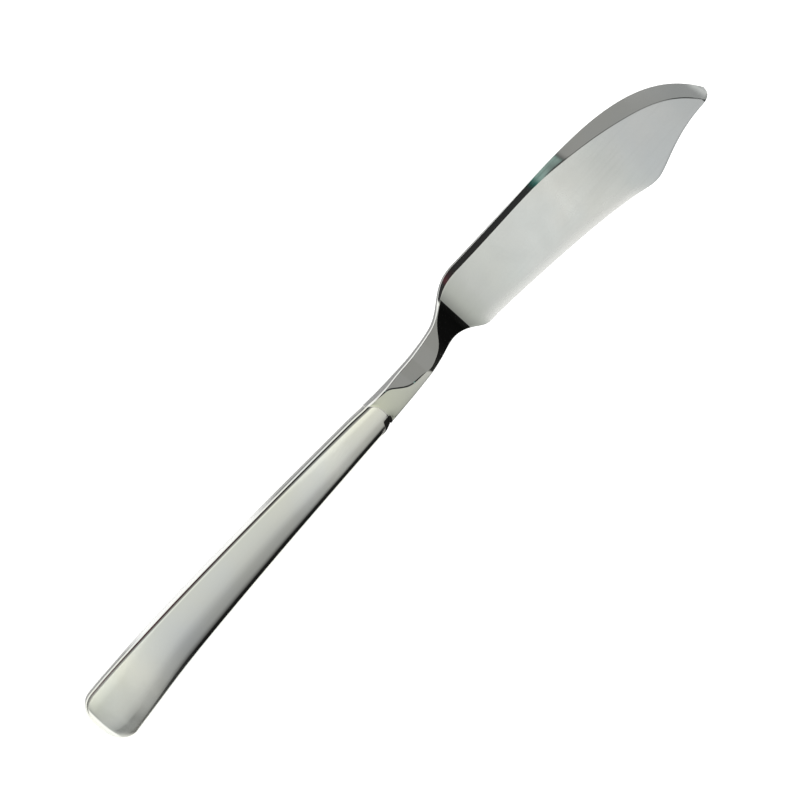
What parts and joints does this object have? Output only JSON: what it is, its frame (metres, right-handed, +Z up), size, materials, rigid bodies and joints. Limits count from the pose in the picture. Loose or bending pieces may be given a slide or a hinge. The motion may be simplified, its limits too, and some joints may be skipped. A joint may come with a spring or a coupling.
{
  "type": "fish knife",
  "caption": "Fish knife in polished steel: broad blunt blade with a curved bevelled back, notched belly and pointed tip, faceted neck and tapered hollow handle.",
  "frame": {"origin": "on the table, under the middle of the knife's box", "axes": "+X along the knife towards the tip, +Y towards the back of the blade, +Z up from the table"},
  "size_m": [0.205, 0.0232, 0.0058],
  "materials": {
    "blade_steel": "mirror polished stainless steel",
    "handle_steel": "mirror polished stainless steel with fine wear",
    "braze": "silver braze, dressed flush and polished",
    "cement": "matt handle cement"
  },
  "bodies": {
    "root": {"blade": "blade_steel", "handle_top_shell": "handle_steel", "handle_bottom_shell": "handle_steel", "seam_braze": "braze", "collar_braze": "braze", "tang_cement": "cement"}
  },
  "joints": []
}
